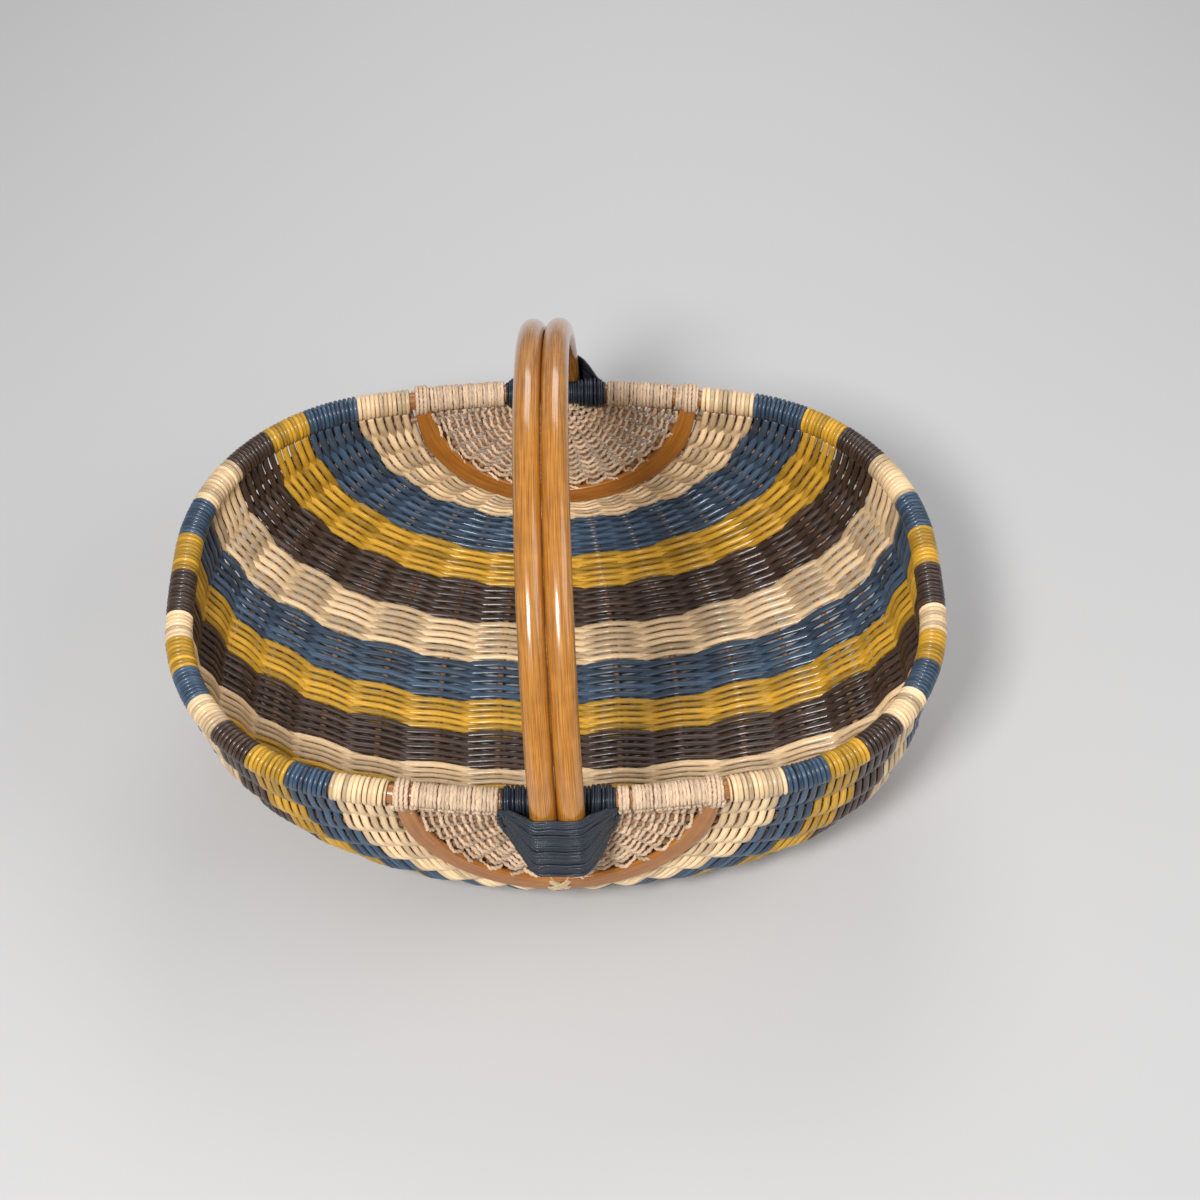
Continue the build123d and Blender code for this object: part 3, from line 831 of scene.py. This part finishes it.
def handle_lashing(name, side):
    """Windings, rows and braided edges of one lashing: side 1 is the back ear, -1 the front ear."""
    back = side > 0
    lashing = Strands(twine_sides, twine_ply)
    for end in (1, -1):
        for layer, pitch, first in twine_layers:
            off = wrap_radius + layer * twine_radius
            line = wound(first, lashing_half_width - 0.8 * mm * layer, end, back, off, pitch)
            line = smooth_path(line, twine_spacing)
            lashing.add(line, twine_radius, shade=draw.uniform(0, 1), start=end + layer)
    rows = int((lashing_depth + lashing_rise) / lashing_pitch)
    for row in range(rows + 1):
        share = row / rows
        down = -lashing_rise + row * lashing_pitch
        wide = max(lashing_width(max(down, 0)), lashing_half_width * lashing_foot)
        side_down = max(down - 3.5 * mm * (1 - share), -1 * mm + 0.35 * (down + lashing_rise))
        for layer in (0.0, 0.7):
            lift = (layer + draw.uniform(-0.55, 0.55)) * twine_radius
            row_down, row_wide = down + layer * lashing_pitch, wide * (1 - 0.04 * layer)
            places = lashing_row(row_down, side_down, row_wide, side, lift)
            thick = twine_radius * draw.uniform(0.9, 1.1)
            lashing.add(places, thick, shade=draw.uniform(0, 1), start=row * 2.0 + layer)
    # the braided edges, where each row turns back through the ribs
    for end in (1, -1):
        t = np.linspace(0.1, 1, 90)
        down = lashing_depth * t
        x = lashing_width(down)
        lean = back_ear_lean if side > 0 else front_ear_lean
        for phase in (0, pi):
            over = x + 0.8 * mm * np.sin(t * braid_turns + phase)
            sag = (rim_side_radius**2 - over**2) ** 0.5 - rim_side_radius
            rise = (0.9 + 0.5 * np.cos(t * braid_turns + phase)) * mm
            out = sag + layer_outer - down * lean / ear_radius + rise
            edge = np.stack([end * over, side * (rim_half_width + out), rim_height - down], axis=1)
            edge = smooth_path(edge, twine_spacing)
            lashing.add(edge, twine_radius, shade=draw.uniform(0, 1), start=phase + end)
    finish_piece(lashing.piece(f"{name}_twine"), twine_finish, [name])


handle_lashing("back_handle_lashing", 1)
handle_lashing("front_handle_lashing", -1)

# ---- Ear ties ----
# A cross of cream twine at the foot of each ear, through the wall, that holds the two strips on the ribs.
tie_radius = 0.75 * mm
tie_ply = 3 * mm
tie_reach = 7.5 * mm
tie_angle = radians(38)
tie_spacing = 1.25 * mm
tie_step = 0.5 * mm
tie_over = 0.55 * mm
tie_dip = 2.4 * mm
tie_colours = ((0.46, 0.33, 0.17), (0.85, 0.70, 0.46))
tie_finish = fibre_material(
    "cream_twine",
    *tie_colours,
    grain=0.2 * mm,
    streak=10,
    rough=0.6,
    coat=0.0,
    bump=0.1 * mm,
    spread=0.2,
    blotch=0.3,
)


def ear_tie(name, side):
    """A cross of three strands each way on both faces of an ear: side 1 is the back ear, -1 the front ear."""
    tie = Strands(6, tie_ply)
    for face in (1, -1):
        for turn in (tie_angle, -tie_angle):
            for strand in (-1, 0, 1):
                run = np.linspace(-1, 1, 25)
                aside = strand * tie_spacing
                across = run * tie_reach * cos(turn) - aside * sin(turn)
                along = run * tie_reach * sin(turn) + aside * cos(turn)
                over = (tie_over if turn > 0 else 0.0) * (1 - run**2)
                off = layer_inner + strip_thickness + tie_radius * 0.6 + over - tie_dip * abs(run) ** 6
                reach = strip_middle + along
                angles = pi / 2 + across / strip_middle
                points = [ear_points(r, np.array([a]), side, face * o) for r, a, o in zip(reach, angles, off)]
                line = smooth_path(np.concatenate(points), tie_step)
                tie.add(line, tie_radius, draw.uniform(0, 1), turn + strand)
    finish_piece(tie.piece(f"{name}_twine"), tie_finish, [name])


ear_tie("back_ear_tie", 1)
ear_tie("front_ear_tie", -1)

# ---- Floor, light and camera ----
# A plain pale floor, three soft lamps, and a camera that looks down into the bowl from the front.
bpy.ops.mesh.primitive_plane_add(size=6, location=(0, 0, 0))
floor = bpy.context.object
floor.name = "floor"
floor_paint = bpy.data.materials.new("floor_paint")
floor_paint.use_nodes = True
floor_shader = floor_paint.node_tree.nodes["Principled BSDF"]
floor_shader.inputs["Base Color"].default_value = (0.62, 0.61, 0.60, 1)
floor_shader.inputs["Roughness"].default_value = 0.8
floor.data.materials.append(floor_paint)


def soft_lamp(name, place, aim, size, power):
    """A square lamp at a place, turned to a point it lights."""
    lamp = bpy.data.lights.new(name, "AREA")
    lamp.size = size
    lamp.energy = power
    holder = bpy.data.objects.new(name, lamp)
    holder.location = place
    holder.rotation_mode = "QUATERNION"
    holder.rotation_quaternion = (Vector(aim) - Vector(place)).to_track_quat("-Z", "Y")
    bpy.context.scene.collection.objects.link(holder)


soft_lamp("key_lamp", (-0.35, -0.85, 1.25), (0, 0, 0.08), 0.3, 17)
soft_lamp("fill_lamp", (0.9, -0.2, 0.9), (0, 0, 0.08), 0.8, 4)
soft_lamp("back_lamp", (0.1, 0.9, 0.9), (0, 0, 0.1), 0.6, 4)
world = bpy.data.worlds.new("studio")
world.use_nodes = True
world.node_tree.nodes["Background"].inputs["Color"].default_value = (0.9, 0.93, 1.0, 1)
world.node_tree.nodes["Background"].inputs["Strength"].default_value = 0.3
bpy.context.scene.world = world
bpy.context.scene.view_settings.view_transform = "Standard"

camera_distance = 1.159
camera_turn = radians(-1.43)
camera_height = radians(52)
camera_roll = radians(0.57)
camera_right, camera_up = 23.5 * mm, -9.9 * mm
level = cos(camera_height)
back = Vector((sin(camera_turn) * level, -cos(camera_turn) * level, sin(camera_height)))
right = Vector((cos(camera_turn), sin(camera_turn), 0))
up = back.cross(right)
rolled_right = right * cos(camera_roll) + up * sin(camera_roll)
rolled_up = up * cos(camera_roll) - right * sin(camera_roll)
camera = bpy.data.objects.new("camera", bpy.data.cameras.new("camera"))
camera.data.lens = 63.84
camera.data.clip_end = 20
camera.location = (
    Vector((0, 0, rim_height)) + back * camera_distance + rolled_right * camera_right + rolled_up * camera_up
)
camera.rotation_mode = "QUATERNION"
camera.rotation_quaternion = Matrix((rolled_right, rolled_up, back)).transposed().to_quaternion()
bpy.context.scene.collection.objects.link(camera)
bpy.context.scene.camera = camera
